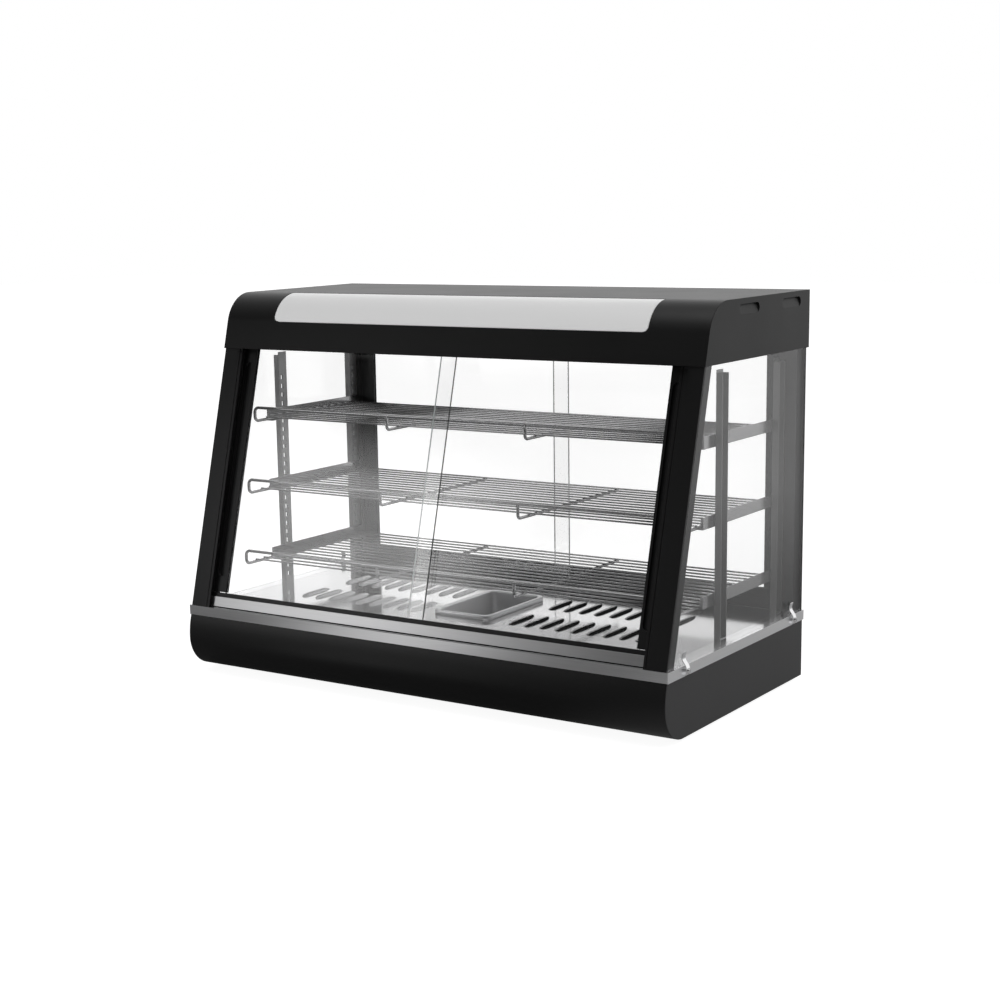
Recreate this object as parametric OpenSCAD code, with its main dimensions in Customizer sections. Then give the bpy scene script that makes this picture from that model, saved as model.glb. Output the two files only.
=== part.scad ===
// Countertop hot food display case: a glazed cabinet on a heated base. The front leans back and has
// two sliding glass doors, the rear has two more, and three wire shelves hang between the side panes.
// A lit canopy closes the top. Millimetres, +Z up, X across the width and the front towards -Y.
// The origin is on the ground, at the middle of the overall width and depth.

/* [Case] */
// Overall width over the stainless trim band
overall_w = 900; // [860:10:1100]
// Depth of the base, from its rear face to the furthest bulge of its front
base_d = 471; // [465:1:500]
// Height of the painted base below the trim band
base_h = 92.5; // [90:0.5:100]
// Height of the stainless trim band
trim_h = 16; // [14:1:20]
// Height from the underside of the base to the roof
case_h = 619; // [610:1:660]
// Height of the canopy, from its lower edge to the roof
canopy_h = 90; // [85:1:100]
// Radius of the canopy's front edge
canopy_r = 60; // [50:1:65]
// Lean of the front away from vertical, degrees
lean = 15; // [12:1:16]
// Height of the rubber feet
foot_h = 6; // [4:1:12]

/* [Sheet, glass and frame] */
// Thickness of the sheet panels
sheet = 1.2; // [0.8:0.1:1.5]
// Thickness of every glass pane
glass_t = 4; // [3:0.5:5]
// Width of the corner uprights over the glass line
upright_w = 28; // [24:1:32]
// Depth of the front uprights, square to the leaning front
front_upright_d = 30; // [29:1:36]
// Depth of the rear uprights
rear_upright_d = 26; // [24:1:32]
// Width of the black handle profile on each sliding door
handle_w = 27; // [24:1:32]

/* [Doors] */
// Overlap of the two front doors at the middle
front_overlap = 34; // [20:1:40]
// Overlap of the two rear doors at the middle
rear_overlap = 34; // [20:1:40]
// How far the doors' meeting line lies to the right of the middle, front then rear
front_meet_x = -4; // [-20:1:20]
rear_meet_x = 6; // [-20:1:20]

/* [Shelves] */
// Pitch of the slots in the pilasters
slot_pitch = 15; // [12:1:16]
// Slots between one shelf and the next
shelf_slots = 8; // [7:1:8]
// Distance from the rear face to the front rail of the top, middle and bottom shelf
shelf_reach = [328.5, 351.5, 365.5];
// Pitch of the shelf wires
wire_pitch = 21; // [15:1:30]
// Radius of the shelf wires
wire_r = 1.5; // [1.2:0.1:2]
// Radius of the bars and the front rail of a shelf
bar_r = 2.5; // [2:0.1:3]

/* [Deck and water pan] */
// Louvres in each of the four groups on the deck
louvre_count = 9; // [3:1:9]
// Pitch of the deck louvres
louvre_pitch = 28.3; // [24:0.1:29]
// Length of a deck louvre
louvre_len = 72; // [50:1:76]
// Outer width and length of the water pan's rim
pan_w = 108; // [90:1:120]
pan_l = 176; // [150:1:180]
// Depth of the water pan
pan_depth = 65; // [40:1:70]

/* [Controls] */
// Distance of the thermostat knob from the middle of the rear face
knob_x = 330; // [200:1:360]
// Radius of the thermostat knob
knob_r = 19; // [15:1:24]
// Depth of the thermostat knob
knob_h = 15; // [12:1:20]

/* [Hidden] */
$fn = 48;

// Colours
BLACK = "#1c1c1c";
STEEL = "#c9cbcc";
GLASS = "#bcd0d4";
DARK = "#2b2b2b";

// Widths, measured from the middle
trim_proud = 2;
body_x = overall_w / 2 - trim_proud;
glass_x = body_x - 2;
upright_x = glass_x - glass_t - upright_w;
cover_w = 6;

// Heights, measured from the underside of the base
deck_z = base_h + trim_h;
canopy_z = case_h - canopy_h;
pane_top_z = canopy_z + 16;

// Depths, measured from the rear face of the base
face_y = -(base_d - 5);
trim_rear_y = 2;
canopy_rear_y = 7;
knob_y = 2;
rear_reach = knob_y + knob_h;
mid_y = (base_d - rear_reach) / 2;

// Base outline: a round lower edge that runs up into a shallow upper curve
base_r = 55;
base_upper_r = 120;
arc_steps = 20;
base_top_a = asin((base_h - base_r) / base_upper_r);

// Canopy outline: the centre of its round front edge
canopy_cz = case_h - canopy_r;
canopy_tangent_z = canopy_cz + canopy_r * sin(lean);
canopy_cy = lean_y(canopy_tangent_z, 0) + canopy_r * cos(lean);

// Sliding doors: a track has three fins with two grooves between them
fin_t = 1.2;
groove_w = 6.5;
track_d = 3 * fin_t + 2 * groove_w;
groove_step = fin_t + groove_w;
front_track_n = 12;
rear_track_n = 5;
upright_set = 2;
glass_lip = 4;
front_pane_s = 15;
rear_pane_s = 11;
front_fins = [27, 27, 27];
rear_fins = [30.5, 30.5, 16];
front_pane_top_s = (pane_top_z - deck_z) / cos(lean);
rear_pane_top_s = pane_top_z - deck_z;
handle_t = 7;
handle_x = upright_x - handle_w - 2;
handle_slot = 3.5;
fit_gap = 0.3;

// Shelves and their carriers
pilaster_x = 415;
pilaster_w = 20.6;
pilaster_d = 10.5;
pilaster_top_z = canopy_z - 14;
pilaster_y = [-251.4, -51.8];
slot_v = 7.5;
first_slot = 17.7;
first_shelf_slot = 3;
hook_rise = 9;
plain_top = 36;
slot_count = floor((pilaster_top_z - deck_z - first_slot - plain_top) / slot_pitch) + 1;
rail_x = pilaster_x - 0.6 - sheet;
rail_y = [-288.7, -31.9];
rail_h = 19;
ledge_w = 12;
shelf_end_x = rail_x - 6.2;
shelf_mid_x = 131;
shelf_back_y = -45;
rail_rise = 23;
bend_r = 8;
weld = 0.5;

// Deck
trim_flange = 26;
trim_r = 1.5;
trim_d = trim_rear_y - face_y;
trim_mid_y = (trim_rear_y + face_y) / 2;
deck_t = 1;
deck_w = overall_w - 2 * trim_flange - 0.6;
deck_d = trim_d - 2 * trim_flange - 0.6;
louvre_x = 94;
louvre_rows = [-165.5, -287];
louvre_r = 4.6;
pan_y = -234;
pan_lip = 4;
skirt_h = 8;

// Screw places: [x, y, z] of the seat under the head, and the turn that points the head outwards
screw_r = 1.9;
hole_r = 2.1;
clip_y = [-413.5, -44];
clip_z = deck_z - 7.5;
clip_seat_x = overall_w / 2 + 5.2;
base_screws = [for (x = [-430, 0, 430], z = [12, base_h - 11]) [x, 0, z]];
canopy_screws = [for (x = [-425, 0, 425], z = [canopy_z + 28, case_h - 14]) [x, canopy_rear_y, z]];
clip_screws = [for (y = clip_y) [clip_seat_x, y, clip_z]];

// Controls on the rear face
control_z = 48;
switch_x = [230, 265];
pilot_x = 290;
gland_x = -390;
spindle_r = 3;
bush_r = 5;
rocker_tilt = 10;

// Lamp
lamp_r = 13;
lamp_half = 295;
lamp_y = canopy_cy;
lamp_z = canopy_cz + 12;
diffuser_w = 697;
diffuser_t = 3;
ceiling_z = canopy_z + 3;

// ---------- frames and shared shapes ----------

// Depth of the leaning front plane at height z, set back by n square to the plane
function lean_y(z, n) = face_y + n / cos(lean) + (z - deck_z) * tan(lean);

// Points of an arc about c from angle a0 to a1
function arc(c, r, a0, a1) =
    [for (i = [0 : arc_steps]) let (a = a0 + (a1 - a0) * i / arc_steps) c + r * [cos(a), sin(a)]];

// Front of the base in (y, z), set in by t, from the bottom edge to the top
function base_front(t) = concat(
    arc([-(base_d - base_r), base_r], base_r - t, 270, 180),
    arc([-(base_d - base_upper_r), base_r], base_upper_r - t, 180, 180 - base_top_a)
);

// Round edge of the canopy in (y, z), set in by t, from the leaning face to the roof
function canopy_edge(t) = arc([canopy_cy, canopy_cz], canopy_r - t, 180 - lean, 90);

// Points of a path set to its right by t, so that path and offset together outline a strip
function offset_path(p, t) = [for (i = [0 : len(p) - 1])
    let (a = p[max(i - 1, 0)], b = p[min(i + 1, len(p) - 1)], d = (b - a) / norm(b - a))
    p[i] + t * [d[1], -d[0]]];

function reversed(p) = [for (i = [len(p) - 1 : -1 : 0]) p[i]];

// Moves shapes drawn from the rear face and underside of the base into the final frame
module place() translate([0, mid_y, foot_h]) children();

// Frame of the leaning front: y goes inwards, square to the plane, and z goes up the lean
module front_frame() place() translate([0, face_y, deck_z]) rotate([-lean, 0, 0]) children();

// Frame of the upright rear: y goes inwards from the rear and z goes up
module rear_frame() place() translate([0, trim_rear_y, deck_z]) mirror([0, 1, 0]) children();

// Draws a (y, z) outline out along X, centred
module along_x(w) translate([-w / 2, 0, 0]) rotate([90, 0, 90]) linear_extrude(w) children();

module sided(side) mirror([side < 0 ? 1 : 0, 0, 0]) children();

module round_rect(w, d, r) {
    square([w - 2 * r, d], center = true);
    square([w, d - 2 * r], center = true);
    for (x = [-1, 1], y = [-1, 1]) translate([x * (w / 2 - r), y * (d / 2 - r)]) circle(r);
}

// Hole along Y for a screw at p
module screw_hole(p) translate(p) rotate([90, 0, 0]) cylinder(r = hole_r, h = 20, center = true);

// ---------- base ----------

module base_front_panel() color(BLACK) place() {
    lap = 36;
    start_y = -(base_d - base_r) + lap;
    along_x(2 * (body_x - sheet)) polygon(concat(
        [[start_y, 0]], base_front(0), reversed(base_front(sheet)), [[start_y, sheet]]
    ));
}

module base_side(side) color(BLACK) place() sided(side) translate([body_x - sheet / 2, 0, 0])
    along_x(sheet) polygon(concat(base_front(0), [[0, base_h], [0, 0]]));

module base_side_left() base_side(-1);

module base_side_right() base_side(1);

foot_x = 390;
foot_y = [-350, -50];

module base_bottom_plate() color(BLACK) place() {
    front_y = -(base_d - base_r) + 10;
    slot_w = 6;
    difference() {
        translate([-(body_x - sheet), front_y, sheet])
            cube([2 * (body_x - sheet), -front_y - sheet, sheet]);
        for (x = [-240 : 20 : 240], y = [-300, -160])
            translate([x - slot_w / 2, y, 0]) cube([slot_w, 70, 3 * sheet]);
        for (x = [-foot_x, foot_x], y = foot_y)
            translate([x, y, 0]) cylinder(r = hole_r, h = 3 * sheet);
    }
}

module base_rear_panel() color(BLACK) place() {
    difference() {
        translate([-(body_x - sheet), -sheet, 2 * sheet])
            cube([2 * (body_x - sheet), sheet, base_h - 2 * sheet]);
        for (p = base_screws) screw_hole(p);
        translate([knob_x, 0, control_z]) rotate([90, 0, 0])
            cylinder(r = bush_r + 0.2, h = 10, center = true);
        for (x = switch_x) translate([x, 0, control_z]) cube([19, 10, 27], center = true);
        translate([pilot_x, 0, control_z]) rotate([90, 0, 0]) cylinder(r = 5.7, h = 10, center = true);
        translate([gland_x, 0, control_z]) rotate([90, 0, 0]) cylinder(r = 7.2, h = 10, center = true);
        for (x = [-260 : 12 : -140]) translate([x, 0, control_z]) cube([4, 10, 40], center = true);
    }
}

module feet() color(DARK) place() {
    foot_r = 17;
    for (x = [-foot_x, foot_x], y = foot_y) translate([x, y, -foot_h]) difference() {
        union() {
            cylinder(r1 = foot_r - 3, r2 = foot_r, h = foot_h);
            translate([0, 0, foot_h]) cylinder(r = foot_r, h = sheet);
        }
        translate([0, 0, -1]) cylinder(r = 6, h = 1 + foot_h / 2);
        cylinder(r = hole_r, h = foot_h + 3);
    }
}

module trim_band() color(STEEL) place() {
    ledge = 10;
    translate([0, trim_mid_y, 0]) difference() {
        union() {
            difference() {
                translate([0, 0, base_h]) linear_extrude(trim_h) round_rect(overall_w, trim_d, trim_r);
                translate([0, 0, base_h + sheet]) linear_extrude(trim_h - 2 * sheet)
                    round_rect(overall_w - 2 * sheet, trim_d - 2 * sheet, trim_r - sheet);
                translate([0, 0, base_h - 1]) linear_extrude(trim_h + 2)
                    square([overall_w - 2 * trim_flange, trim_d - 2 * trim_flange], center = true);
            }
            translate([0, 0, deck_z - deck_t - sheet]) linear_extrude(sheet) difference() {
                square([overall_w - 2 * trim_flange + 4, trim_d - 2 * trim_flange + 4], center = true);
                square([deck_w - 2 * ledge, deck_d - 2 * ledge], center = true);
            }
        }
        for (side = [-1, 1], p = clip_screws)
            translate([side * p[0], p[1] - trim_mid_y, p[2]]) rotate([0, 90, 0])
                cylinder(r = hole_r, h = 20, center = true);
    }
}

// Pressed hood of a deck louvre, with its mouth towards +X
module louvre_hood() {
    wall = 0.8;
    mouth_z = 2.6;
    difference() {
        rotate([90, 0, 0]) cylinder(r = louvre_r, h = louvre_len, center = true);
        rotate([90, 0, 0]) cylinder(r = louvre_r - wall, h = louvre_len - 2 * wall, center = true);
        translate([-10, -louvre_len, -20]) cube([20, 2 * louvre_len, 20]);
        translate([0, -louvre_len / 2 + wall, 0]) cube([10, louvre_len - 2 * wall, mouth_z]);
    }
}

module deck_plate() color(STEEL) place() {
    slot_w = 2 * (louvre_r - 1);
    spots = [for (side = [-1, 1], y = louvre_rows, i = [0 : louvre_count - 1])
        [side, side * (louvre_x + i * louvre_pitch), y]];
    difference() {
        translate([0, trim_mid_y, deck_z - deck_t]) linear_extrude(deck_t)
            square([deck_w, deck_d], center = true);
        for (s = spots) translate([s[1], s[2], deck_z])
            cube([slot_w, louvre_len - 2, 4 * deck_t], center = true);
        translate([0, pan_y, deck_z - 5]) linear_extrude(10)
            round_rect(pan_w - 2 * pan_lip, pan_l - 2 * pan_lip, 10);
    }
    for (s = spots) translate([s[1], s[2], deck_z - 0.01]) sided(s[0]) louvre_hood();
}

// Open pan with a flat rim and a folded skirt that stands on the deck
module water_pan() color(STEEL) place() {
    wall = 1;
    body_w = pan_w - 2 * pan_lip - 2;
    body_l = pan_l - 2 * pan_lip - 2;
    rim_z = deck_z + fit_gap + skirt_h;
    translate([0, pan_y, 0]) difference() {
        union() {
            translate([0, 0, rim_z - pan_depth]) linear_extrude(pan_depth) round_rect(body_w, body_l, 10);
            translate([0, 0, rim_z - skirt_h]) linear_extrude(skirt_h) round_rect(pan_w, pan_l, 12);
        }
        translate([0, 0, rim_z - pan_depth + wall]) linear_extrude(pan_depth)
            round_rect(body_w - 2 * wall, body_l - 2 * wall, 9);
        translate([0, 0, rim_z - skirt_h - wall]) linear_extrude(skirt_h) difference() {
            round_rect(pan_w - 2 * wall, pan_l - 2 * wall, 11);
            round_rect(body_w, body_l, 10);
        }
    }
}

// ---------- inside the base ----------

element_r = 4;
element_z = 70;
element_y = [-306, -146];
element_x = [80, 300];
element_bend = (element_y[1] - element_y[0]) / 2;

// Hairpin tube heater on each side of the water pan, with a terminal stud on each end
module heating_elements() color("dimgray") place() {
    stud_r = 2;
    for (side = [-1, 1]) sided(side) {
        for (y = element_y) translate([element_x[0], y, element_z]) rotate([0, 90, 0]) {
            cylinder(r = element_r, h = element_x[1] - element_x[0]);
            translate([0, 0, -10]) cylinder(r = stud_r, h = 11);
        }
        translate([element_x[1], (element_y[0] + element_y[1]) / 2, element_z]) rotate([0, 0, -90])
            rotate_extrude(angle = 180) translate([element_bend, 0]) circle(element_r);
    }
}

module element_brackets() color(STEEL) place() {
    w = 20;
    plate = 1.5;
    for (x = [-260, -130, 130, 260], y = element_y) translate([x, y - w / 2, 2 * sheet]) difference() {
        union() {
            cube([plate, w, element_z + 8]);
            cube([w, w, plate]);
        }
        translate([-5, w / 2, element_z - 2 * sheet]) rotate([0, 90, 0])
            cylinder(r = element_r + 0.15, h = 10);
    }
}

module terminal_block() color("ivory") place() {
    size = [72, 22, 20];
    way = 12;
    translate([-350, -70, 2 * sheet]) difference() {
        cube(size);
        for (i = [0 : 5], y = [5.5, 16.5])
            translate([way / 2 + i * way, y, 12]) cylinder(r = 3, h = 10);
        for (i = [1 : 5]) translate([i * way - 0.75, -1, 14]) cube([1.5, size[1] + 2, 10]);
    }
}

module cable_gland() color(DARK) place() translate([gland_x, 0, control_z]) rotate([-90, 0, 0]) {
    difference() {
        union() {
            translate([0, 0, -12]) cylinder(r = 7, h = 14);
            cylinder(r = 11, h = 4, $fn = 6);
            translate([0, 0, 4]) cylinder(r1 = 9, r2 = 7.5, h = 11);
            translate([0, 0, -sheet - 5]) cylinder(r = 10.5, h = 5, $fn = 6);
        }
        translate([0, 0, -20]) cylinder(r = 4.2, h = 50);
    }
}

module thermostat() color("lightgray") place() translate([knob_x, 0, control_z]) {
    box = 44;
    difference() {
        union() {
            translate([-box / 2, -28, -box / 2]) cube([box, 24, box]);
            rotate([-90, 0, 0]) translate([0, 0, -5]) cylinder(r = bush_r, h = 6);
        }
        rotate([-90, 0, 0]) translate([0, 0, -22]) cylinder(r = spindle_r + 0.05, h = 30);
    }
    translate([-60, -34, 20]) rotate([0, 90, 0]) cylinder(r = 3, h = 36);
    translate([-26, -34, 20]) rotate([0, 90, 0]) cylinder(r = 1, h = 22);
    translate([-5, -34, 19]) cube([2, 8, 2]);
}

module thermostat_spindle() color(STEEL) place() translate([knob_x, 0, control_z])
    rotate([-90, 0, 0]) translate([0, 0, -20]) cylinder(r = spindle_r, h = 20 + knob_h - 3);

module thermostat_knob() color(DARK) place() translate([knob_x, knob_y, control_z]) rotate([-90, 0, 0]) {
    grips = 18;
    difference() {
        union() {
            cylinder(r = knob_r, h = 4);
            translate([0, 0, 4]) cylinder(r1 = knob_r - 2, r2 = knob_r - 4, h = knob_h - 4);
        }
        translate([0, 0, -1]) cylinder(r = spindle_r + 0.02, h = knob_h - 3.9);
        for (a = [0 : 360 / grips : 359]) rotate([0, 0, a])
            translate([knob_r - 1.5, 0, 4.5]) cylinder(r = 1.2, h = knob_h);
        translate([-0.8, -knob_r + 5, knob_h - 1]) cube([1.6, knob_r - 9, 2]);
    }
}

rocker_pin_r = 1.2;
rocker_y = -5;

module switch_housings() color(DARK) place() for (x = switch_x) translate([x, 0, control_z]) difference() {
    union() {
        translate([-11, 0, -15]) cube([22, 2, 30]);
        translate([-9.3, -24, -13.3]) cube([18.6, 25, 26.6]);
    }
    translate([-7.3, -14, -11.3]) cube([14.6, 20, 22.6]);
    translate([0, rocker_y, 0]) rotate([0, 90, 0]) cylinder(r = rocker_pin_r + 0.05, h = 17, center = true);
}

// Rocker with a dished face on two side pins, resting with its lower half pressed in
module rocker(x) place() translate([x, rocker_y, control_z]) rotate([rocker_tilt, 0, 0]) {
    half_h = 9.8;
    along_x(14) polygon([
        [-3, 4], [3, half_h], [8.2, half_h], [6.6, 0], [8.2, -half_h], [3, -half_h], [-3, -4]
    ]);
    rotate([0, 90, 0]) cylinder(r = rocker_pin_r, h = 16.4, center = true);
}

module power_rocker() color("darkred") rocker(switch_x[0]);

module light_rocker() color("darkgreen") rocker(switch_x[1]);

module pilot_lamp() color("orange") place() translate([pilot_x, 0, control_z]) rotate([-90, 0, 0]) {
    translate([0, 0, -16]) cylinder(r = 5.5, h = 17);
    cylinder(r = 7, h = 1.6);
    translate([0, 0, 1.6]) intersection() {
        translate([0, 0, -3]) sphere(6);
        cylinder(r = 5, h = 5);
    }
}

// ---------- sliding doors and their frames ----------

// Section of a right-hand upright: hollow box, cover flange over the doors, lip over the side glass
module upright_section(n, depth, lip) {
    wall = 1.6;
    groove = 1;
    difference() {
        union() {
            translate([upright_x, n]) square([upright_w, depth]);
            translate([upright_x - cover_w, n]) square([cover_w + 1, 2]);
            translate([glass_x - glass_t - 1, n]) square([glass_t + 1, lip]);
        }
        translate([upright_x + wall, n + 2 * wall]) square([upright_w - 2 * wall, depth - 3 * wall]);
        translate([upright_x - 2, n - 1]) square([2, 1 + groove]);
    }
}

module front_upright(side) color(BLACK) intersection() {
    front_frame() sided(side) translate([0, 0, -20]) linear_extrude(front_pane_top_s + 60)
        upright_section(upright_set, front_upright_d, glass_lip);
    place() translate([-600, -600, deck_z]) cube([1200, 700, pane_top_z + 4 - deck_z]);
}

module front_upright_left() front_upright(-1);

module front_upright_right() front_upright(1);

module rear_upright(side) color(BLACK) rear_frame() sided(side)
    linear_extrude(rear_pane_top_s + 4) upright_section(0, rear_upright_d, glass_lip);

module rear_upright_left() rear_upright(-1);

module rear_upright_right() rear_upright(1);

module front_sill() color(STEEL) front_frame() along_x(2 * upright_x - 1) {
    set_n = 9;
    foot_s = 3.5;
    top_s = 20;
    translate([set_n, foot_s]) square([sheet, top_s - foot_s]);
    translate([set_n, top_s - sheet]) square([front_track_n - set_n, sheet]);
}

// Lower track outline: a web that stands on the deck and three fins of the given heights
module lower_track_section(n, web_s, fins, slope) {
    polygon([
        [n, n * slope], [n + track_d, (n + track_d) * slope], [n + track_d, web_s], [n, web_s]
    ]);
    for (i = [0 : 2]) translate([n + i * groove_step, web_s - 1]) square([fin_t, fins[i] - web_s + 1]);
}

module upper_track_section(n, pane_s) {
    fin_h = 9;
    translate([n, pane_s + 2]) square([track_d, 3]);
    for (i = [0 : 2]) translate([n + i * groove_step, pane_s + 2.5 - fin_h]) square([fin_t, fin_h]);
}

track_w = 2 * upright_x - 1;

module front_lower_track() color(BLACK) front_frame() along_x(track_w)
    lower_track_section(front_track_n, front_pane_s - 1, front_fins, tan(lean));

module front_upper_track() color(BLACK) front_frame() along_x(track_w)
    upper_track_section(front_track_n, front_pane_top_s);

module rear_lower_track() color(BLACK) rear_frame() along_x(track_w)
    lower_track_section(rear_track_n, rear_pane_s - 1, rear_fins, 0);

module rear_upper_track() color(BLACK) rear_frame() along_x(track_w)
    upper_track_section(rear_track_n, rear_pane_top_s);

// Depth of the middle of groove i of a track that starts at n
function groove_n(n, i) = n + fin_t + groove_w / 2 + i * groove_step;

// Right-hand pane from the meeting edge to its handle profile
module door_glass(n, s0, s1, meet_x) color(GLASS, 0.4) translate([meet_x, n - glass_t / 2, s0])
    cube([handle_x + handle_slot - 0.5 - meet_x, glass_t, s1 - s0]);

// Right-hand handle profile: a bar with a slot for the glass edge and a long rounded finger recess
module door_handle(n, s0, s1) color(DARK) {
    recess_w = 17;
    recess_end = 35;
    recess_x = handle_x + handle_slot + 1.3 + recess_w / 2;
    recess_d = 3.6;
    difference() {
        translate([handle_x, n - handle_t / 2, s0]) cube([handle_w, handle_t, s1 - s0]);
        translate([handle_x - 1, n - glass_t / 2 - 0.1, s0 - 1])
            cube([handle_slot + 1, glass_t + 0.2, s1 - s0 + 2]);
        translate([recess_x, n - handle_t / 2 + recess_d, 0]) rotate([90, 0, 0]) linear_extrude(10) {
            translate([-recess_w / 2, s0 + recess_end]) square([recess_w, s1 - s0 - 2 * recess_end]);
            for (s = [s0 + recess_end, s1 - recess_end]) translate([0, s]) circle(recess_w / 2);
        }
    }
}

front_outer_n = groove_n(front_track_n, 0);
front_inner_n = groove_n(front_track_n, 1);
rear_outer_n = groove_n(rear_track_n, 0);
rear_inner_n = groove_n(rear_track_n, 1);
front_handle_s = [front_fins[0] + 1, front_pane_top_s - 10];
rear_handle_s = [rear_fins[0] + 1, rear_pane_top_s - 10];

module front_door_glass_left() front_frame() sided(-1)
    door_glass(front_outer_n, front_pane_s, front_pane_top_s, -front_meet_x - front_overlap / 2);

module front_door_glass_right() front_frame()
    door_glass(front_inner_n, front_pane_s, front_pane_top_s, front_meet_x - front_overlap / 2);

module front_door_handle_left() front_frame() sided(-1)
    door_handle(front_outer_n, front_handle_s[0], front_handle_s[1]);

module front_door_handle_right() front_frame()
    door_handle(front_inner_n, front_handle_s[0], front_handle_s[1]);

module rear_door_glass_left() rear_frame() sided(-1)
    door_glass(rear_inner_n, rear_pane_s, rear_pane_top_s, -rear_meet_x - rear_overlap / 2);

module rear_door_glass_right() rear_frame()
    door_glass(rear_outer_n, rear_pane_s, rear_pane_top_s, rear_meet_x - rear_overlap / 2);

module rear_door_handle_left() rear_frame() sided(-1)
    door_handle(rear_inner_n, rear_handle_s[0], rear_handle_s[1]);

module rear_door_handle_right() rear_frame()
    door_handle(rear_outer_n, rear_handle_s[0], rear_handle_s[1]);

// ---------- side glass ----------

module side_glass(side) color(GLASS, 0.4) place() sided(side) translate([glass_x - glass_t / 2, 0, 0]) {
    front_n = upright_set + glass_lip + fit_gap;
    rear_y = trim_rear_y - glass_lip - fit_gap;
    along_x(glass_t) polygon([
        [lean_y(deck_z, front_n), deck_z], [rear_y, deck_z],
        [rear_y, pane_top_z], [lean_y(pane_top_z, front_n), pane_top_z]
    ]);
}

module side_glass_left() side_glass(-1);

module side_glass_right() side_glass(1);

// Sprung clip from the trim band over the foot of a side pane, drawn in (x, z) from its lower end
module glass_clips() color(STEEL) place() {
    w = 11;
    clip_t = 1.2;
    x = overall_w / 2;
    z = deck_z;
    inner = [
        [x + 0.1, z - 15.1], [x + 3.2, z - 13.3], [x + 4, z - 10.5], [x + 4, z - 4.5],
        [x + 2.4, z + 0.3], [x - 3.1, z + 8], [x - 3.8, z + 11.5], [x - 3.1, z + 15.5], [x - 0.7, z + 20.5]
    ];
    for (side = [-1, 1], p = clip_screws) sided(side) difference() {
        translate([0, p[1] + w / 2, 0]) rotate([90, 0, 0]) linear_extrude(w)
            polygon(concat(inner, reversed(offset_path(inner, clip_t))));
        translate(p) rotate([0, 90, 0]) cylinder(r = hole_r, h = 20, center = true);
    }
}

// ---------- shelves ----------

// Slotted channel, open towards the side glass, with a foot that stands on the deck
module pilaster(side, y) color("gray") place() sided(side) translate([pilaster_x, y, deck_z]) {
    h = pilaster_top_z - deck_z;
    slot_w = 5;
    slot_h = 7;
    difference() {
        union() {
            cube([sheet, pilaster_w, h]);
            for (v = [0, pilaster_w - sheet]) translate([0, v, 0]) cube([pilaster_d, sheet, h - 5]);
            cube([pilaster_d, pilaster_w, sheet]);
        }
        for (i = [0 : slot_count - 1])
            translate([-1, slot_v - slot_w / 2, first_slot + i * slot_pitch - slot_h / 2])
                cube([3, slot_w, slot_h]);
    }
}

module pilaster_front_left() pilaster(-1, pilaster_y[0]);

module pilaster_front_right() pilaster(1, pilaster_y[0]);

module pilaster_rear_left() pilaster(-1, pilaster_y[1]);

module pilaster_rear_right() pilaster(1, pilaster_y[1]);

// Height of the ledge that carries shelf i, counted from the bottom
function ledge_z(i) = deck_z + first_slot + (first_shelf_slot + i * shelf_slots) * slot_pitch - hook_rise;

// Pair of angle rails for one shelf, each with a front stop and a hook into either pilaster
module shelf_rails(z) color(STEEL) place() for (side = [-1, 1]) sided(side) {
    stop_w = 3.4;
    hook = [4, 3.4, 6];
    translate([rail_x, rail_y[0], z - sheet]) cube([sheet, rail_y[1] - rail_y[0], rail_h]);
    translate([rail_x - ledge_w, rail_y[0], z - sheet]) cube([ledge_w + sheet, rail_y[1] - rail_y[0], sheet]);
    translate([rail_x - stop_w, rail_y[0], z - sheet]) cube([stop_w + sheet, sheet, rail_h]);
    for (y = pilaster_y)
        translate([rail_x + sheet, y + slot_v - hook[1] / 2, z + hook_rise - hook[2] / 2]) cube(hook);
}

module shelf_rails_top() shelf_rails(ledge_z(2));

module shelf_rails_middle() shelf_rails(ledge_z(1));

module shelf_rails_bottom() shelf_rails(ledge_z(0));

module rod_x(x0, x1, r) translate([x0, 0, 0]) rotate([0, 90, 0]) cylinder(r = r, h = x1 - x0);

module bend(r) rotate_extrude(angle = 90) translate([bend_r, 0]) circle(r);

// Wires across four bars. The end bars turn up at the front into a raised rail, and the two middle
// bars reach it with short posts.
module wire_shelf(z, reach) color(STEEL) place() {
    bar_z = z + fit_gap + bar_r;
    wire_z = bar_z + bar_r + wire_r - weld;
    rail_z = bar_z + rail_rise;
    front_y = -reach;
    back_y = shelf_back_y + 6;
    wires = floor((shelf_back_y - front_y - 15) / wire_pitch) + 1;
    wire_end = shelf_end_x + 1.5;
    mid_r = bar_r - 0.3;
    post_r = bar_r - 0.6;
    rail_r = bar_r + 0.2;
    for (i = [0 : wires - 1])
        translate([0, shelf_back_y - i * wire_pitch, wire_z]) rod_x(-wire_end, wire_end, wire_r);
    for (side = [-1, 1]) sided(side) {
        translate([shelf_end_x, back_y, bar_z]) rotate([90, 0, 0])
            cylinder(r = bar_r, h = back_y - front_y - bend_r);
        translate([shelf_end_x, front_y + bend_r, bar_z + bend_r])
            mirror([0, 1, 0]) rotate([0, 90, 0]) bend(bar_r);
        translate([shelf_end_x, front_y, bar_z + bend_r]) cylinder(r = bar_r, h = rail_rise - 2 * bend_r);
        translate([shelf_end_x - bend_r, front_y, rail_z - bend_r]) rotate([90, 0, 0]) bend(bar_r);
        translate([shelf_mid_x, back_y, bar_z]) rotate([90, 0, 0])
            cylinder(r = mid_r, h = back_y - front_y + mid_r);
        translate([shelf_mid_x, front_y, bar_z]) cylinder(r = post_r, h = rail_rise - 1);
    }
    translate([0, front_y, rail_z]) rod_x(-(shelf_end_x - bend_r), shelf_end_x - bend_r, rail_r);
}

module wire_shelf_top() wire_shelf(ledge_z(2), shelf_reach[0]);

module wire_shelf_middle() wire_shelf(ledge_z(1), shelf_reach[1]);

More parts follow.
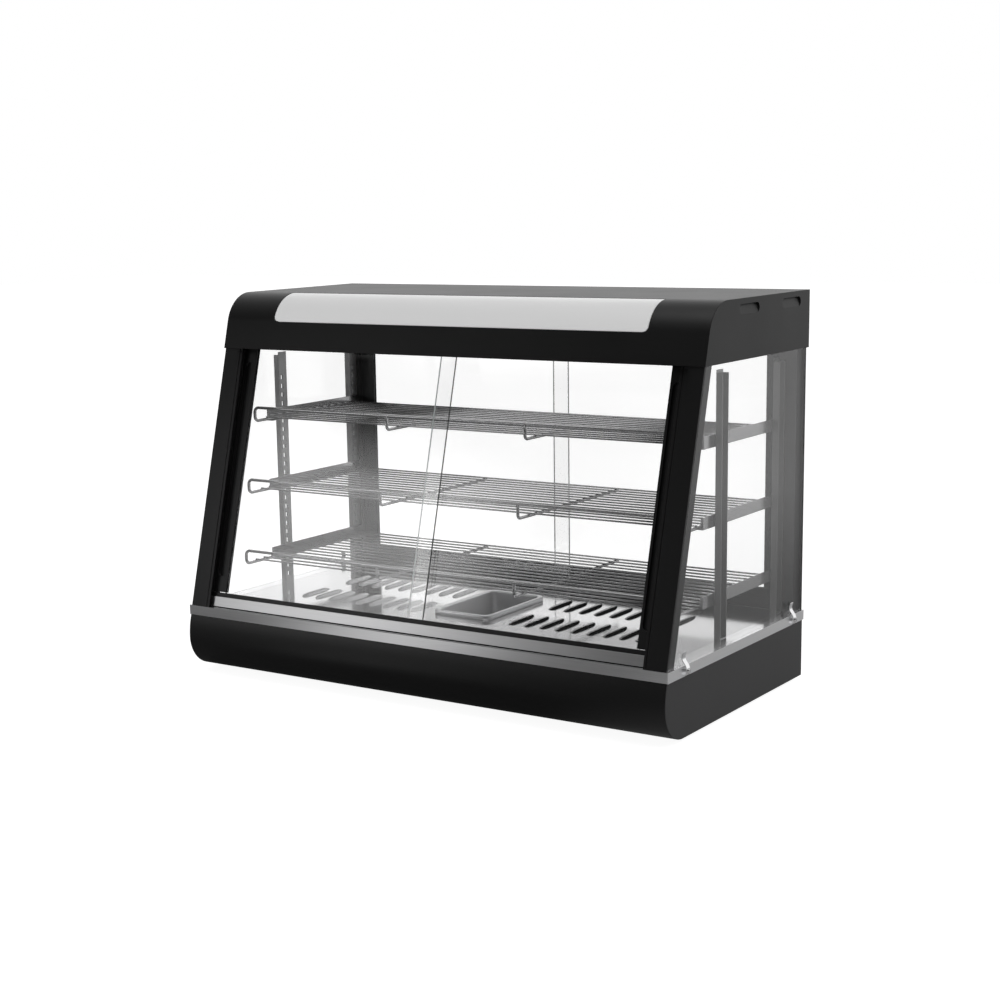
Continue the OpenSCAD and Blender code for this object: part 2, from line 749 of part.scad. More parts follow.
module wire_shelf_bottom() wire_shelf(ledge_z(0), shelf_reach[2]);

// ---------- canopy ----------

canopy_w = 2 * (body_x - sheet);

module canopy_front() color(BLACK) place() difference() {
    along_x(canopy_w) polygon(concat(
        [[lean_y(canopy_z, 0), canopy_z]], canopy_edge(0), reversed(canopy_edge(sheet)),
        [[lean_y(canopy_z, sheet), canopy_z]]
    ));
    translate([-diffuser_w / 2 - 0.5, -base_d, canopy_tangent_z]) cube([diffuser_w + 1, base_d, 100]);
}

module canopy_roof() color(BLACK) place() difference() {
    start_y = canopy_cy + 0.6;
    along_x(canopy_w) polygon([
        [start_y, case_h], [canopy_rear_y, case_h], [canopy_rear_y, canopy_z],
        [canopy_rear_y - sheet, canopy_z], [canopy_rear_y - sheet, case_h - sheet], [start_y, case_h - sheet]
    ]);
    for (p = canopy_screws) screw_hole(p);
}

vent_y = [-210.5, -61.5];
vent_z = case_h - 16;
vent_l = 68;
vent_r = 7.5;

// Long hole with round ends, grown by more all round and t deep along X
module vent_hole(more, t) rotate([90, 0, 90]) linear_extrude(t)
    round_rect(vent_l + 2 * more, 2 * (vent_r + more), vent_r + more - 0.1);

// Flap of a side vent, pressed inwards from its lower edge so that the hole is open along its top
module vent_flap() intersection() {
    wall = 1.1;
    sink = 5;
    rise = vent_r + 1;
    translate([-8, 0, 0]) vent_hole(0.8, 8);
    rotate([90, 0, 0]) translate([0, 0, -vent_l]) linear_extrude(2 * vent_l)
        polygon([[-0.1, -rise], [-0.1 - wall, -rise], [-sink - wall, rise], [-sink, rise]]);
}

module canopy_side(side) color(BLACK) place() sided(side) {
    difference() {
        translate([body_x - sheet / 2, 0, 0]) along_x(sheet) polygon(concat(
            [[lean_y(canopy_z, 0), canopy_z]], canopy_edge(0),
            [[canopy_rear_y, case_h], [canopy_rear_y, canopy_z]]
        ));
        for (y = vent_y) translate([body_x - 5, y, vent_z]) vent_hole(0, 10);
    }
    for (y = vent_y) translate([body_x, y, vent_z]) vent_flap();
}

module canopy_side_left() canopy_side(-1);

module canopy_side_right() canopy_side(1);

module ceiling_panel() color(STEEL) place() {
    front_y = lean_y(ceiling_z + sheet, upright_set + front_upright_d) + 1;
    rear_y = trim_rear_y - rear_upright_d - 1;
    w = 2 * (glass_x - glass_t - fit_gap);
    difference() {
        translate([-w / 2, front_y, ceiling_z]) cube([w, rear_y - front_y, sheet]);
        for (x = [-270 : 30 : 270], y = [-262, -170])
            translate([x - 4, y, ceiling_z - 1]) cube([8, 50, 4]);
    }
}

module light_diffuser() color("white") place() along_x(diffuser_w) polygon(concat(
    arc([canopy_cy, canopy_cz], canopy_r, 179.5 - lean, 90.5),
    arc([canopy_cy, canopy_cz], canopy_r - diffuser_t, 90.5, 179.5 - lean)
));

// Straight tube lamp with a metal cap and two pins at each end
module lamp_tube() color("ghostwhite") place() translate([0, lamp_y, lamp_z]) {
    rod_x(-lamp_half, lamp_half, lamp_r);
    for (side = [-1, 1], z = [-6.35, 6.35]) sided(side)
        translate([0, 0, z]) rod_x(lamp_half - 1, lamp_half + 7, 1.2);
}

module lamp_holders() color("white") place() for (side = [-1, 1]) sided(side)
    translate([lamp_half + 0.2, lamp_y, ceiling_z + sheet]) difference() {
        w = 30;
        h = lamp_z - ceiling_z - sheet;
        union() {
            translate([0, -w / 2, 0]) cube([12, w, h]);
            translate([0, 0, h]) rotate([0, 90, 0]) cylinder(r = w / 2, h = 12);
            translate([0, -w / 2, 0]) cube([26, w, 3]);
        }
        for (z = [-6.35, 6.35]) translate([-1, 0, h + z]) rotate([0, 90, 0]) cylinder(r = 1.4, h = 9);
    }

// ---------- fasteners ----------

// Pan head screw with a cross recess, seated at the origin with its head towards +Z
module screw() {
    head_h = 2.2;
    difference() {
        union() {
            cylinder(r1 = 4, r2 = 3, h = head_h);
            translate([0, 0, -8]) cylinder(r = screw_r, h = 8.5);
        }
        for (a = [0, 90]) rotate([0, 0, a]) translate([-2, -0.4, head_h - 0.8]) cube([4, 0.8, 2]);
    }
}

module screws() color(STEEL) place() {
    for (p = concat(base_screws, canopy_screws)) translate(p) rotate([-90, 0, 0]) screw();
    for (side = [-1, 1], p = clip_screws) sided(side) translate(p) rotate([0, 90, 0]) screw();
}

base_front_panel();
base_side_left();
base_side_right();
base_bottom_plate();
base_rear_panel();
feet();
trim_band();
deck_plate();
water_pan();
heating_elements();
element_brackets();
terminal_block();
cable_gland();
thermostat();
thermostat_spindle();
thermostat_knob();
switch_housings();
power_rocker();
light_rocker();
pilot_lamp();
front_sill();
front_lower_track();
front_upper_track();
front_upright_left();
front_upright_right();
front_door_glass_left();
front_door_glass_right();
front_door_handle_left();
front_door_handle_right();
side_glass_left();
side_glass_right();
glass_clips();
rear_upright_left();
rear_upright_right();
rear_lower_track();
rear_upper_track();
rear_door_glass_left();
rear_door_glass_right();
rear_door_handle_left();
rear_door_handle_right();
pilaster_front_left();
pilaster_front_right();
pilaster_rear_left();
pilaster_rear_right();
shelf_rails_top();
shelf_rails_middle();
shelf_rails_bottom();
wire_shelf_top();
wire_shelf_middle();
wire_shelf_bottom();
canopy_front();
canopy_roof();
canopy_side_left();
canopy_side_right();
ceiling_panel();
light_diffuser();
lamp_tube();
lamp_holders();
screws();
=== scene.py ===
import math

import bmesh
import bpy
import numpy as np
from mathutils import Matrix, Vector


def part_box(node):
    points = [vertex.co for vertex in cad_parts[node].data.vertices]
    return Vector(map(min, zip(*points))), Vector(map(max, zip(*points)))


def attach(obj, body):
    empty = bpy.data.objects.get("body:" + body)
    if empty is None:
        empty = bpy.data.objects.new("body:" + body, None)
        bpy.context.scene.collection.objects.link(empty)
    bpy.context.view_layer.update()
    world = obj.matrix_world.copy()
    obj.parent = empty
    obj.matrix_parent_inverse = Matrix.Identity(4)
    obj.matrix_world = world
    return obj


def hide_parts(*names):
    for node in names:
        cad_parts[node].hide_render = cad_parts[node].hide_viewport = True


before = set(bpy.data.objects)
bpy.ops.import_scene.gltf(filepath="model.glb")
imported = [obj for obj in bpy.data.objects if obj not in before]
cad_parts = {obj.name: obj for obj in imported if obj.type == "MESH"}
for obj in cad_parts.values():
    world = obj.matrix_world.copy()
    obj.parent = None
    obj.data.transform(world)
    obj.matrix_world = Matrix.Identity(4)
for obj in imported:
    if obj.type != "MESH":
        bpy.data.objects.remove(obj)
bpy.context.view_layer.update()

# ---------- places taken from the frame ----------

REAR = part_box("base_rear_panel")[1].y
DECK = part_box("trim_band")[1].z
HALF_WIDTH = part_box("trim_band")[1].x
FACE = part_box("trim_band")[0].y
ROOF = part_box("canopy_roof")[1].z
CANOPY_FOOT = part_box("canopy_roof")[0].z
LEAN = math.radians(15)
SHEET = 0.0012


# ---------- camera ----------

def aim_camera(place, yaw, pitch, roll, lens, shift):
    """Camera at place, with its angles in degrees: yaw turns it left from +Y, pitch tips it down and roll
    turns it about its own axis."""
    y, p, r = (math.radians(a) for a in (yaw, pitch, roll))
    ahead = Vector((-math.sin(y) * math.cos(p), math.cos(y) * math.cos(p), -math.sin(p)))
    right = ahead.cross(Vector((0, 0, 1))).normalized()
    up = right.cross(ahead)
    across = math.cos(r) * right + math.sin(r) * up
    over = -math.sin(r) * right + math.cos(r) * up
    data = bpy.data.cameras.new("camera")
    data.lens, data.sensor_width = lens, 36
    data.shift_x, data.shift_y = shift
    camera = bpy.data.objects.new("camera", data)
    turn = Matrix((across, over, -ahead)).transposed().to_4x4()
    camera.matrix_world = Matrix.Translation(place) @ turn
    bpy.context.scene.collection.objects.link(camera)
    bpy.context.scene.camera = camera


aim_camera((1.6233, -2.4879, 0.7818), 34.68, 11.06, -1.14, 66.53, (0.058, 0.0555))


# ---------- finishes ----------

class Value:
    """A socket of a node tree. Arithmetic on it adds Math nodes, so a mask can be written as a formula."""

    def __init__(self, finish, socket):
        self.finish = finish
        self.socket = socket

    def maths(self, operation, first, second):
        return self.finish.node("ShaderNodeMath", {"operation": operation}, {0: first, 1: second})

    def __add__(self, other):
        return self.maths("ADD", self, other)

    def __radd__(self, other):
        return self.maths("ADD", other, self)

    def __sub__(self, other):
        return self.maths("SUBTRACT", self, other)

    def __rsub__(self, other):
        return self.maths("SUBTRACT", other, self)

    def __mul__(self, other):
        return self.maths("MULTIPLY", self, other)

    def __rmul__(self, other):
        return self.maths("MULTIPLY", other, self)

    def __pow__(self, other):
        return self.maths("POWER", self, other)

    def __abs__(self):
        return self.maths("ABSOLUTE", self, 0.0)


class Finish:
    """A material built node by node round one Principled shader, on whose sockets its constants are set."""

    def __init__(self, name, colour, roughness, constants=()):
        self.material = bpy.data.materials.new(name)
        self.material.use_nodes = True
        self.tree = self.material.node_tree
        self.shader = self.tree.nodes["Principled BSDF"]
        self.colour = colour
        self.shader.inputs["Base Color"].default_value = (*colour, 1)
        self.shader.inputs["Roughness"].default_value = roughness
        for socket, value in dict(constants).items():
            self.shader.inputs[socket].default_value = value
        self.place = self.node("ShaderNodeTexCoord", output="Object")

    def node(self, kind, settings=(), inputs=(), output=0):
        """Adds a node of that kind with its settings, then sets or links its sockets."""
        made = self.tree.nodes.new(kind)
        for key, value in dict(settings).items():
            setattr(made, key, value)
        for key, value in dict(inputs).items():
            if isinstance(value, Value):
                self.tree.links.new(value.socket, made.inputs[key])
            else:
                made.inputs[key].default_value = value
        return Value(self, made.outputs[output])

    def noise(self, scale, detail=2.0, stretch=(1, 1, 1)):
        """Noise from 0 to 1 with features of 1 / scale metres, drawn out where stretch is below 1."""
        spread = self.node("ShaderNodeMapping", inputs={"Vector": self.place, "Scale": stretch})
        return self.node("ShaderNodeTexNoise", inputs={"Vector": spread, "Scale": scale, "Detail": detail})

    def ease(self, value, low, high):
        """0 below low and 1 above high, with a smooth step between them."""
        return self.node(
            "ShaderNodeMapRange", {"interpolation_type": "SMOOTHSTEP"},
            {"Value": value, "From Min": low, "From Max": high},
        )

    def along(self, axis):
        """Coordinate along x, y or z."""
        return self.node("ShaderNodeSeparateXYZ", inputs={0: self.place}, output="XYZ".index(axis))

    def facing(self, axis):
        """How squarely the surface faces along x, y or z, from 0 to 1."""
        normal = self.node("ShaderNodeTexCoord", output="Normal")
        return abs(self.node("ShaderNodeSeparateXYZ", inputs={0: normal}, output="XYZ".index(axis)))

    def blend(self, share, first, second):
        """Colour that goes from first to second with share."""
        return self.node(
            "ShaderNodeMix", {"data_type": "RGBA"},
            {0: share, 6: (*first, 1), 7: (*second, 1)}, output=2,
        )

    def feed(self, socket, value):
        self.tree.links.new(value.socket, self.shader.inputs[socket])

    def dent(self, height, depth):
        """Bump of that height, depth metres deep, into the shader's normal."""
        self.feed("Normal", self.node(
            "ShaderNodeBump", inputs={"Height": height, "Distance": depth, "Strength": 1.0},
        ))

    def shade(self, share, low=0.85, high=1.15):
        """Base colour that varies between low and high times the finish's own colour."""
        first = tuple(low * c for c in self.colour)
        second = tuple(min(1.0, high * c) for c in self.colour)
        self.feed("Base Color", self.blend(share, first, second))


def powder_coat(name, grey, roughness, ior=1.48):
    """Satin powder coat: a fine orange peel and a faint cloudiness in its colour and gloss."""
    f = Finish(name, (grey, grey, grey * 1.03), roughness, {"IOR": ior})
    peel = f.noise(620, 3)
    clouds = f.noise(9, 4)
    f.shade(clouds, 0.75, 1.3)
    f.feed("Roughness", roughness - 0.06 + 0.1 * clouds + 0.05 * peel)
    f.dent(peel, 0.00006)
    return f.material


def anodised(name, grey, roughness, axis):
    """Black anodised extrusion: fine die lines along the bar and a slight metallic sheen."""
    f = Finish(name, (grey, grey, grey * 1.04), roughness, {"Metallic": 0.35, "IOR": 1.5})
    stretch = tuple(0.006 if a == axis else 1.0 for a in "XYZ")
    lines = f.noise(900, 2, stretch)
    clouds = f.noise(12, 3)
    f.shade(lines * 0.6 + clouds * 0.4, 0.7, 1.4)
    f.feed("Roughness", roughness - 0.05 + 0.12 * lines)
    f.dent(lines, 0.00003)
    return f.material


def brushed(name, grey, roughness, axis=None):
    """Brushed stainless steel, whose grain is fine noise drawn out along the axis. With no axis it is a
    band's: the grain runs along X in front and behind and along Y at the sides, and level faces are
    polished."""
    f = Finish(name, (grey, grey, grey * 1.01), roughness, {"Metallic": 1.0})
    clouds = f.noise(6, 3)
    if axis is None:
        turn = f.ease(f.facing("X"), 0.6, 0.8)
        level = f.noise(1500, 3, (0.006, 1, 1))
        deep = f.noise(1500, 3, (1, 0.006, 1))
        grain = level * (1 - turn) + deep * turn
        up = f.ease(f.facing("Z"), 0.6, 0.8)
        f.feed("Roughness", (roughness - 0.06 + 0.12 * grain + 0.04 * clouds) * (1 - up) + 0.09 * up)
    else:
        grain = f.noise(1500, 3, tuple(0.006 if a == axis else 1.0 for a in "XYZ"))
        f.feed("Roughness", roughness - 0.06 + 0.12 * grain + 0.04 * clouds)
    f.shade(grain * 0.7 + clouds * 0.3, 0.85, 1.12)
    f.dent(grain, 0.000004)
    return f.material


def polished(name, grey, roughness):
    """Polished stainless steel: a near mirror whose gloss drifts with faint polishing lines, dried water
    spots and finger haze."""
    f = Finish(name, (grey, grey, grey * 1.01), roughness, {"Metallic": 1.0})
    haze = f.noise(14, 4)
    lines = f.noise(800, 2, (0.02, 1, 1))
    spots = f.ease(f.noise(160, 1), 0.7, 0.76)
    f.shade(haze * 0.7 + lines * 0.3, 0.94, 1.06)
    f.feed("Roughness", roughness - 0.02 + 0.05 * haze + 0.02 * lines + 0.05 * spots)
    return f.material


def clear_glass(name, edge_axis=None, edge_grey_and_light=0.1, haze=0.02, tint=0.985):
    """Thin clear pane. Light passes straight through with a faint tint, and each face mirrors a share that
    grows towards glancing angles by Schlick's rule. Smears leave a thin haze, and with an edge axis the
    faces square to it turn a solid grey, partly the cut edge's own colour and partly painted light."""
    f = Finish(name, (0.9, 0.92, 0.92), 0.5, {"IOR": 1.5})
    clear = f.node("ShaderNodeBsdfTransparent", inputs={"Color": (tint, tint, tint, 1)})
    gloss = f.node("ShaderNodeBsdfGlossy", inputs={"Color": (1, 1, 1, 1), "Roughness": 0.012})
    slant = f.node("ShaderNodeLayerWeight", inputs={"Blend": 0.5}, output="Facing")
    mirror = 0.04 + 0.96 * slant ** 5.0
    pane = f.node("ShaderNodeMixShader", inputs={0: mirror, 1: clear, 2: gloss})
    smears = f.ease(f.noise(7, 4, (1, 1, 0.4)), 0.35, 0.75)
    film = haze * smears
    solid = Value(f, f.shader.outputs[0])
    if edge_axis is None:
        f.shade(smears, 0.9, 1.0)
        share = film
    else:
        # Faces square to the edge axis turn solid grey: partly the cut glass's own colour, partly painted
        # light set per pane.
        cut = f.ease(f.facing(edge_axis), 0.6, 0.8)
        edge_colour_and_light = (edge_grey_and_light, edge_grey_and_light * 1.1, edge_grey_and_light * 1.08)
        f.feed("Base Color", f.blend(cut, f.colour, edge_colour_and_light))
        share = film + cut * 0.9
    made = f.node("ShaderNodeMixShader", inputs={0: share, 1: pane, 2: solid})
    f.tree.links.new(made.socket, f.tree.nodes["Material Output"].inputs["Surface"])
    return f.material


def acrylic(name):
    """Opal white acrylic glowing with the lamp behind it, painted brighter towards its lower edge, with the
    faintest mould ripple.
    """
    f = Finish(name, (0.78, 0.78, 0.78), 0.32, {"IOR": 1.49, "Emission Strength": 0.34})
    ripple = f.noise(30, 3, (0.2, 1, 1))
    # Painted light: colour and glow are both made brighter towards the lower edge.
    level = f.ease(f.along("Z"), ROOF - 0.062, ROOF)
    f.shade(ripple * 0.3 + level * 0.7, 1.06, 0.86)
    f.feed("Emission Color", f.blend(level, (1, 1, 1), (0.75, 0.75, 0.75)))
    f.feed("Roughness", 0.28 + 0.08 * ripple)
    return f.material


def moulded(name, colour, roughness, grain=900, depth=0.00004, constants=()):
    """Moulded plastic or rubber with a fine spark-eroded grain and slight colour drift."""
    f = Finish(name, colour, roughness, {"IOR": 1.48, **dict(constants)})
    pores = f.noise(grain, 3)
    clouds = f.noise(25, 3)
    f.shade(clouds, 0.85, 1.15)
    f.feed("Roughness", roughness - 0.05 + 0.1 * pores + 0.04 * clouds)
    f.dent(pores, depth)
    return f.material


def heater(name):
    """Sheath of a tube heater: dull steel, browned by heat in patches."""
    f = Finish(name, (0.2, 0.18, 0.17), 0.45, {"Metallic": 0.9})
    stain = f.noise(30, 4)
    f.feed("Base Color", f.blend(stain, (0.26, 0.24, 0.22), (0.1, 0.075, 0.06)))
    f.feed("Roughness", 0.36 + 0.2 * stain)
    f.dent(f.noise(700, 2), 0.00004)
    return f.material


PAINT = powder_coat("black_powder_coat", 0.006, 0.4)
# Painted light: the base sides are the front's black powder coat, painted a lighter grey so they look lit
# from the side.
BASE_SIDE_PAINTED_LIGHTER = powder_coat("black_powder_coat_base_sides_painted_lighter", 0.044, 0.4)
# Painted light: the canopy sides are the front's black powder coat, painted a touch lighter, with a lower IOR
# for a weaker sheen.
CANOPY_SIDE_PAINTED_LIGHTER = powder_coat("black_powder_coat_canopy_sides_painted_lighter", 0.011, 0.45, 1.36)
BAR = anodised("black_anodised_bar", 0.014, 0.4, "Z")
TRACK = anodised("black_anodised_track", 0.014, 0.38, "X")
TRIM = brushed("brushed_trim", 0.88, 0.3)
SILL = brushed("brushed_sill", 0.6, 0.32, "X")
INNER = brushed("brushed_inner_sheet", 0.5, 0.36, "X")
POST = brushed("satin_post", 0.3, 0.36, "Z")
DECK_STEEL = polished("polished_deck", 0.72, 0.09)
PAN_STEEL = polished("polished_pan", 0.7, 0.32)
ROD = polished("polished_rod", 0.5, 0.2)
RAIL = polished("polished_rail", 0.46, 0.16)
# Painted shade: the louvres are the deck's own steel, painted darker grey to stand for the dark surroundings
# they mirror.
HOOD_STEEL_PAINTED_DARKER = polished("polished_louvre_painted_darker", 0.5, 0.16)
CHROME = polished("bright_clip", 0.85, 0.07)
# Edge greys per pane: the inner front pane's pale edge is a painted highlight, and the darker edges of the
# others are the cut glass's own colour deepened with painted shade.
FRONT_PANE = clear_glass("front_pane", "X", 0.05, 0.02, 0.997)
INNER_PANE = clear_glass("inner_front_pane", "X", 0.75, 0.012, 0.997)
REAR_PANE = clear_glass("rear_pane", "X", 0.16, 0.01, 0.997)
SIDE_PANE = clear_glass("side_pane", haze=0.015, tint=0.997)
OPAL = acrylic("opal_acrylic")
TUBE = moulded("frosted_tube", (0.86, 0.87, 0.86), 0.5, constants={"Emission Strength": 0.0})
PLASTIC = moulded("black_plastic", (0.018, 0.018, 0.019), 0.4)
RED = moulded("red_plastic", (0.42, 0.015, 0.015), 0.22, 500, 0.00001)
GREEN = moulded("green_plastic", (0.02, 0.26, 0.06), 0.22, 500, 0.00001)
AMBER = moulded("amber_plastic", (0.8, 0.3, 0.03), 0.12, 500, 0.00001)
CERAMIC = moulded("white_ceramic", (0.78, 0.76, 0.7), 0.35)
HEATER = heater("heater_sheath")
RUBBER = moulded("rubber", (0.02, 0.02, 0.02), 0.7, 600, 0.0001)


# ---------- mesh work ----------

def lattice(rows, cols, round_cols=False):
    """Four-sided faces between neighbours of a grid of points, closed round its columns if asked."""
    r = np.arange(rows - 1)[:, None]
    c = np.arange(cols if round_cols else cols - 1)[None, :]
    nxt = (c + 1) % cols
    quads = np.broadcast_arrays(r * cols + c, r * cols + nxt, (r + 1) * cols + nxt, (r + 1) * cols + c)
    return np.stack(quads, -1).reshape(-1, 4)


def joined(parts):
    """One (points, faces) part from several. Each one's face numbers are moved past the points before it."""
    starts = np.cumsum([0] + [len(points) for points, faces in parts])
    faces = [f + start for (points, fs), start in zip(parts, starts) for f in fs]
    return np.vstack([points for points, fs in parts]), faces


def piece(name, part, material, body, stands_for=(), wall=0.0, edge=0.0, from_inside=None):
    """Object with the part's mesh, shaded smooth. An open sheet whose faces look towards from_inside is
    turned round, and a closed one gets its normals from its volume. Wall is the thickness added inwards, and
    edge rounds the corners."""
    points, faces = part
    mesh = bpy.data.meshes.new(name)
    mesh.from_pydata(points.tolist(), [], [row for f in faces for row in f.tolist()])
    work = bmesh_of(mesh)
    bmesh.ops.remove_doubles(work, verts=work.verts, dist=1e-6)
    if from_inside is None:
        bmesh.ops.recalc_face_normals(work, faces=work.faces)
    else:
        middle = Vector(from_inside)
        if sum((f.calc_center_median() - middle).dot(f.normal) * f.calc_area() for f in work.faces) < 0:
            bmesh.ops.reverse_faces(work, faces=work.faces)
    work.to_mesh(mesh)
    work.free()
    mesh.shade_smooth()
    mesh.materials.append(material)
    made = bpy.data.objects.new(name, mesh)
    bpy.context.scene.collection.objects.link(made)
    if wall:
        thick = made.modifiers.new("wall", "SOLIDIFY")
        thick.thickness, thick.offset = wall, -1
    if edge:
        soften(made, edge)
    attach(made, body)
    if stands_for:
        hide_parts(*stands_for)


def soften(thing, width):
    """Small rounded edges, so that they catch the light as real ones do."""
    bevel = thing.modifiers.new("edges", "BEVEL")
    bevel.width, bevel.segments = width, 2
    bevel.limit_method, bevel.angle_limit = "ANGLE", math.radians(32)
    bevel.harden_normals = True


def bmesh_of(mesh):
    work = bmesh.new()
    work.from_mesh(mesh)
    return work


def tube(path, radius, sides=12, aim=(0.577, 0.577, 0.577)):
    """Round bar: a circle square to the path is carried along it, and a fan closes each end. The first point
    of the circle lies towards aim, less aim's share along the path."""
    path = np.asarray(path, float)
    ahead = np.gradient(path, axis=0)
    ahead /= np.linalg.norm(ahead, axis=1, keepdims=True)
    side = np.asarray(aim) - (ahead @ np.asarray(aim))[:, None] * ahead
    side /= np.linalg.norm(side, axis=1, keepdims=True)
    other = np.cross(ahead, side)
    turn = np.linspace(0, 2 * np.pi, sides, endpoint=False)
    ring = np.cos(turn)[None, :, None] * side[:, None] + np.sin(turn)[None, :, None] * other[:, None]
    points = np.vstack([(path[:, None] + radius * ring).reshape(-1, 3), path[:1], path[-1:]])
    n = len(path) * sides
    a = np.arange(sides)
    b = (a + 1) % sides
    start = np.stack([np.full(sides, n), b, a], -1)
    end = np.stack([np.full(sides, n + 1), n - sides + a, n - sides + b], -1)
    return points, [lattice(len(path), sides, True), start, end]


def bend(centre, first, last, radius, steps=9):
    """Quarter turn about centre, from radius along first to radius along last."""
    a = np.linspace(0, np.pi / 2, steps)[:, None]
    return np.asarray(centre) + radius * (np.cos(a) * np.asarray(first) + np.sin(a) * np.asarray(last))


# ---------- wire shelves ----------

BAR_R, WIRE_R, RAIL_R, BEND_R = 0.0025, 0.0015, 0.0027, 0.008
MID_BAR_X = 0.131
MID_BEND_R = 0.006
WIRE_PITCH = 0.021
WELD = 0.0005


def wire_shelf(node, body):
    """Straight wires welded across the bars. One long bar runs forward on the left, turns up, along the
    raised front rail and back again on the right. The two middle bars turn up into that rail."""
    lo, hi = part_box(node)
    end_x, front, back = hi.x - BAR_R, lo.y + RAIL_R, hi.y
    bar_z, rail_z = lo.z + BAR_R, hi.z - RAIL_R
    x, y, z = np.eye(3)

    def half(side):
        corner = bend((side * end_x, front + BEND_R, bar_z + BEND_R), -z, -y, BEND_R)
        top = bend((side * (end_x - BEND_R), front, rail_z - BEND_R), side * x, z, BEND_R)
        return np.vstack([[(side * end_x, back, bar_z)], corner, top])

    parts = [tube(np.vstack([half(-1), half(1)[::-1]]), BAR_R + 0.0001, 12)]
    for side in (-1, 1):
        mid_x = side * MID_BAR_X
        corner = bend((mid_x, front + MID_BEND_R, bar_z + MID_BEND_R), -z, -y, MID_BEND_R)
        hook = np.vstack([[(mid_x, back, bar_z)], corner, [(mid_x, front, rail_z - WELD)]])
        parts.append(tube(hook, BAR_R, 12))
    wire_z = bar_z + BAR_R + WIRE_R - WELD
    stops = (-end_x - WIRE_R, -end_x * 0.33, end_x * 0.33, end_x + WIRE_R)
    for row in np.arange(back - 0.006, front + 0.014, -WIRE_PITCH):
        parts.append(tube([(stop, row, wire_z) for stop in stops], WIRE_R, 8, z))
    piece(node + "_wires", joined(parts), ROD, body, [node])


wire_shelf("wire_shelf_top", "top_shelf")
wire_shelf("wire_shelf_middle", "middle_shelf")
wire_shelf("wire_shelf_bottom", "bottom_shelf")


# ---------- deck and water pan ----------

LOUVRE_X = 0.094 + 0.0283 * np.arange(9)
LOUVRE_Y = REAR - np.array([0.1655, 0.287])
LOUVRE_HALF = 0.036
HOOD_HALF, HOOD_HIGH = 0.0044, 0.0044


def deck_sheet():
    """Flat plate on a grid whose lines follow the slots under the louvres and the pan's opening. The cells
    inside them are left out."""
    lo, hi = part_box("deck_plate")
    pan_lo, pan_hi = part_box("water_pan")
    inset, slot, slot_end = 0.004, 0.0034, LOUVRE_HALF - 0.001
    xs = np.concatenate([s * (LOUVRE_X + d) for s in (-1, 1) for d in (-slot, slot)])
    xs = np.unique(np.round(np.concatenate([[lo.x, hi.x, pan_lo.x + inset, pan_hi.x - inset], xs]), 6))
    ys = np.concatenate([LOUVRE_Y - slot_end, LOUVRE_Y + slot_end])
    ys = np.unique(np.round(np.concatenate([[lo.y, hi.y, pan_lo.y + inset, pan_hi.y - inset], ys]), 6))
    gx, gy = np.meshgrid(xs, ys)
    points = np.stack([gx, gy, np.full_like(gx, DECK)], -1).reshape(-1, 3)
    faces = lattice(len(ys), len(xs))
    mid = points[faces].mean(1)
    in_x = (np.abs(np.abs(mid[:, 0])[:, None] - LOUVRE_X[None, :]) < slot).any(1)
    in_y = (np.abs(mid[:, 1][:, None] - LOUVRE_Y[None, :]) < slot_end).any(1)
    pan_y = (mid[:, 1] > pan_lo.y + inset) & (mid[:, 1] < pan_hi.y - inset)
    in_pan = (np.abs(mid[:, 0]) < pan_hi.x - inset) & pan_y
    return points, [faces[~((in_x & in_y) | in_pan)]]


def louvre_hoods():
    """Drawn hoods. Across the hood the height follows a sine a little past its crest, to the open lip. Along
    it height and width fall off at both ends as the square root of one minus a fifth power."""
    across = np.linspace(0, 1, 7)
    length = np.sin(np.linspace(-1, 1, 15) * np.pi / 2)
    u, v = np.meshgrid(across, length)
    taper = np.sqrt(np.clip(1 - np.abs(v) ** 5, 0, 1))
    rise = np.sin(np.clip(u * 1.35, 0, 1.35) * np.pi / 2)
    wide = HOOD_HALF * (0.35 + 0.65 * taper)
    parts = []
    for side in (-1, 1):
        for centre in LOUVRE_X:
            for row in LOUVRE_Y:
                x = side * centre + side * (2 * u - 1) * wide
                z = DECK - 0.0001 + HOOD_HIGH * rise * taper
                y = row + v * LOUVRE_HALF
                points = np.stack([x, y, z], -1).reshape(-1, 3)
                parts.append((points, [lattice(len(length), len(across))[:, ::side]]))
    return joined(parts)


def rounded_ring(half_x, half_y, radius, centre, z, steps=8):
    """Rectangle with round corners at height z: four quarter circles joined by straight runs."""
    radius = min(radius, half_x, half_y)
    a = np.linspace(0, np.pi / 2, steps)
    turns = np.concatenate([a + k * np.pi / 2 for k in range(4)])
    corner = np.repeat([(1, 1), (-1, 1), (-1, -1), (1, -1)], steps, 0) * (half_x - radius, half_y - radius)
    x = centre[0] + corner[:, 0] + radius * np.cos(turns)
    y = centre[1] + corner[:, 1] + radius * np.sin(turns)
    return np.stack([x, y, np.full_like(x, z)], -1)


